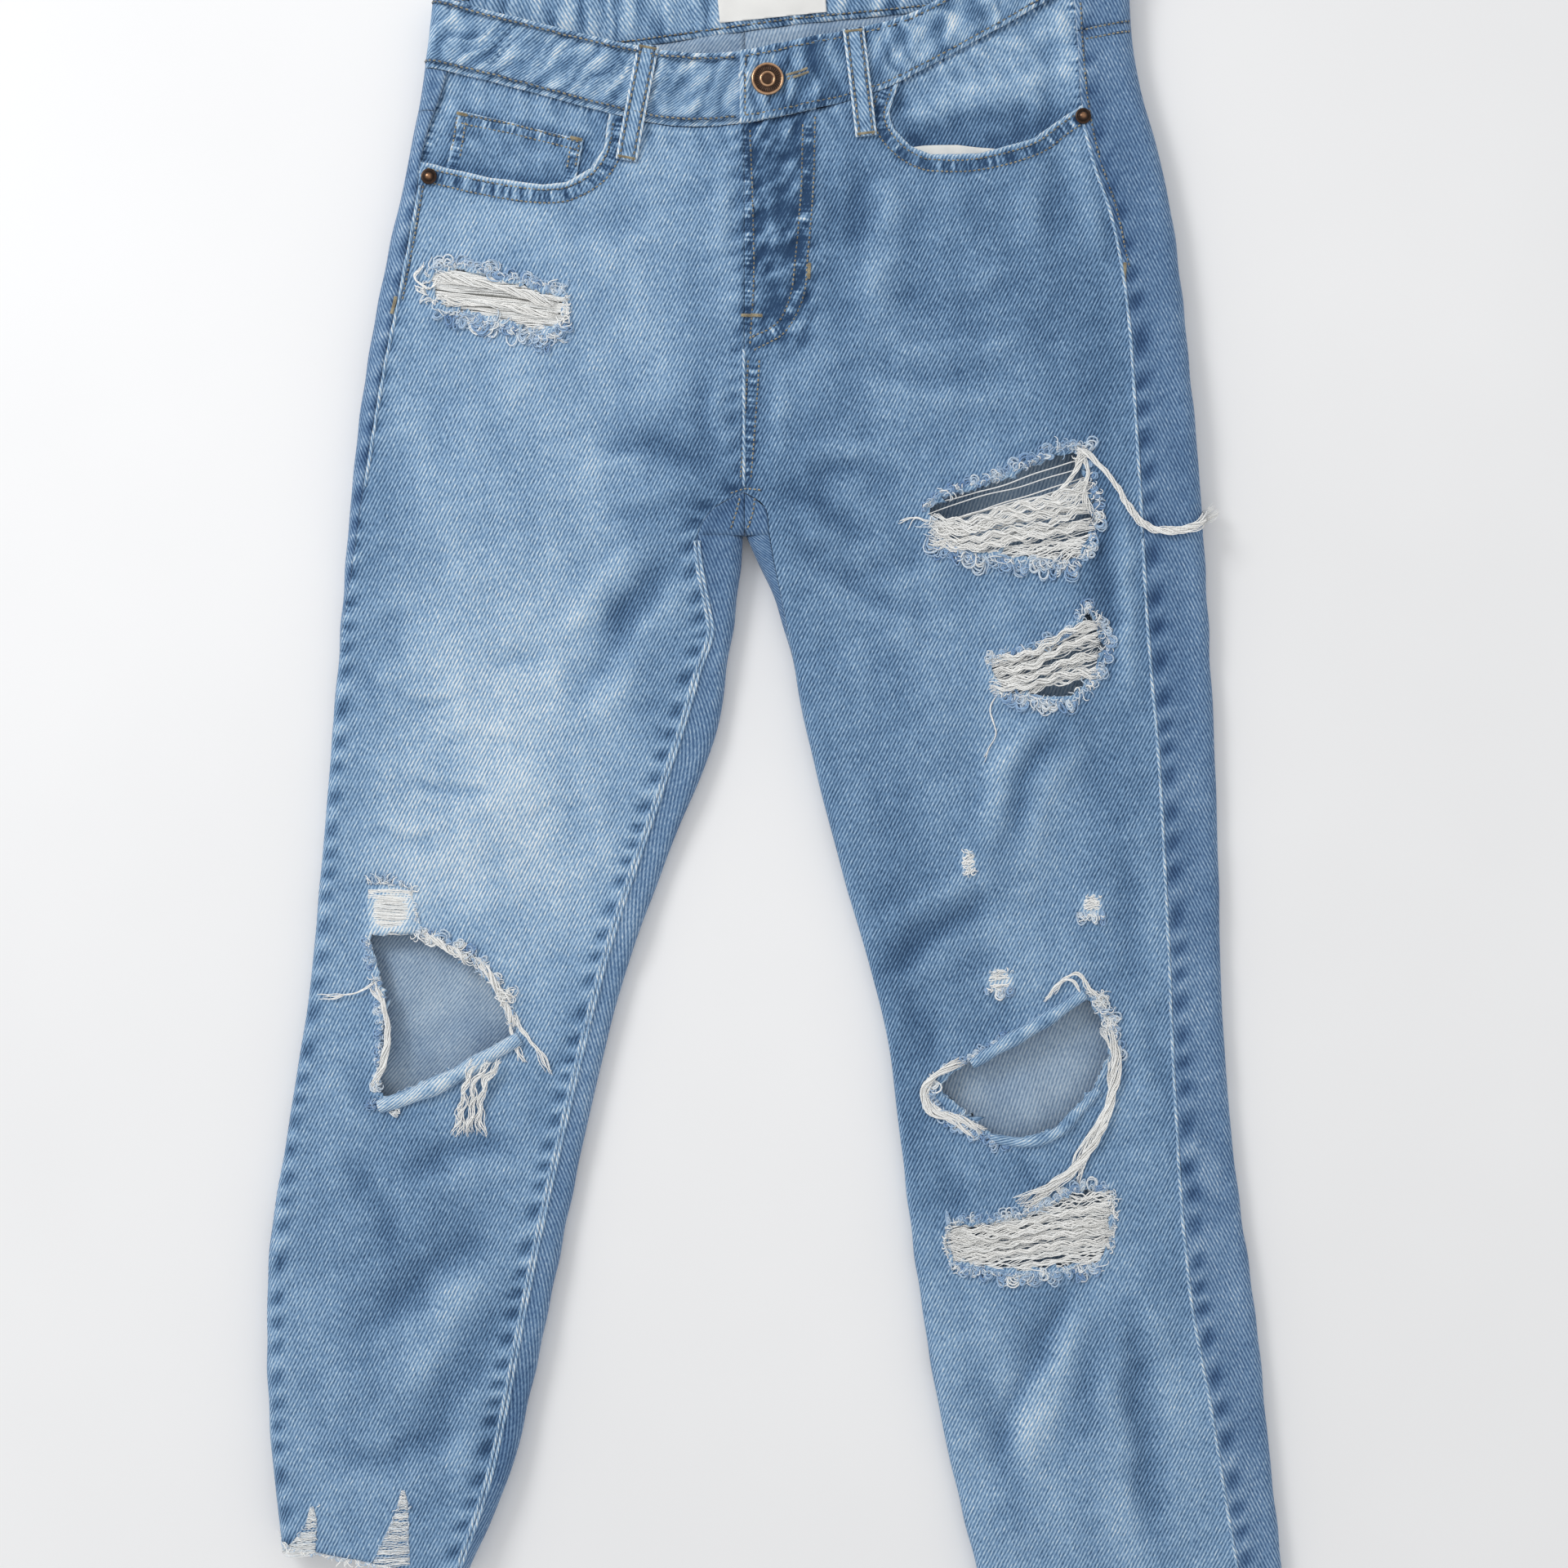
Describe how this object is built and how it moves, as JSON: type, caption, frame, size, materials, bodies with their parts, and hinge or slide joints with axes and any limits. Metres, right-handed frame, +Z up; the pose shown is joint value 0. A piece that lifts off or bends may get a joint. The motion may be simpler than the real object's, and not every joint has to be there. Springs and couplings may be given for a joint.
{
  "type": "ripped jeans",
  "caption": "Light blue tapered denim jeans laid flat on their back, waist open and fly buttoned, with ripped knees, thigh and shin and frayed hems.",
  "frame": {"origin": "centre of the footprint, on the surface the jeans lie on", "axes": "+Y from the hems to the waist, +X towards the wearer's left leg, +Z up off the surface"},
  "size_m": [0.5502, 0.9261, 0.0233],
  "materials": {
    "denim_outside": "faded light blue twill denim, pale weft showing, lighter on thighs and knees",
    "denim_back": "light blue twill denim, a little darker towards the side seams",
    "denim_pocket": "light blue twill denim, less faded where the pocket covers it",
    "pocketing": "off-white plain-weave cotton",
    "zip_tape": "dark blue woven tape",
    "label": "white satin label, blank",
    "copper": "antique copper, dark in the recesses and bright on the rims"
  },
  "bodies": {
    "root": {"front_right": "denim_outside", "front_left": "denim_outside", "waistband": "denim_outside", "belt_loop_front_right": "denim_outside", "belt_loop_front_left": "denim_outside", "belt_loop_back_right": "denim_outside", "belt_loop_back_centre": "denim_outside", "belt_loop_back_left": "denim_outside", "back_right": "denim_back", "back_left": "denim_back", "yoke_right": "denim_back", "yoke_left": "denim_back", "back_pocket_right": "denim_back", "back_pocket_left": "denim_back", "pocket_facing_right": "denim_pocket", "pocket_facing_left": "denim_pocket", "coin_pocket": "denim_pocket", "fly_shield": "denim_pocket", "pocket_bag_right": "pocketing", "pocket_bag_left": "pocketing", "zip_tape": "zip_tape", "label": "label", "button": "copper", "rivet_right": "copper", "rivet_left": "copper", "zip_slider": "copper"}
  },
  "joints": []
}
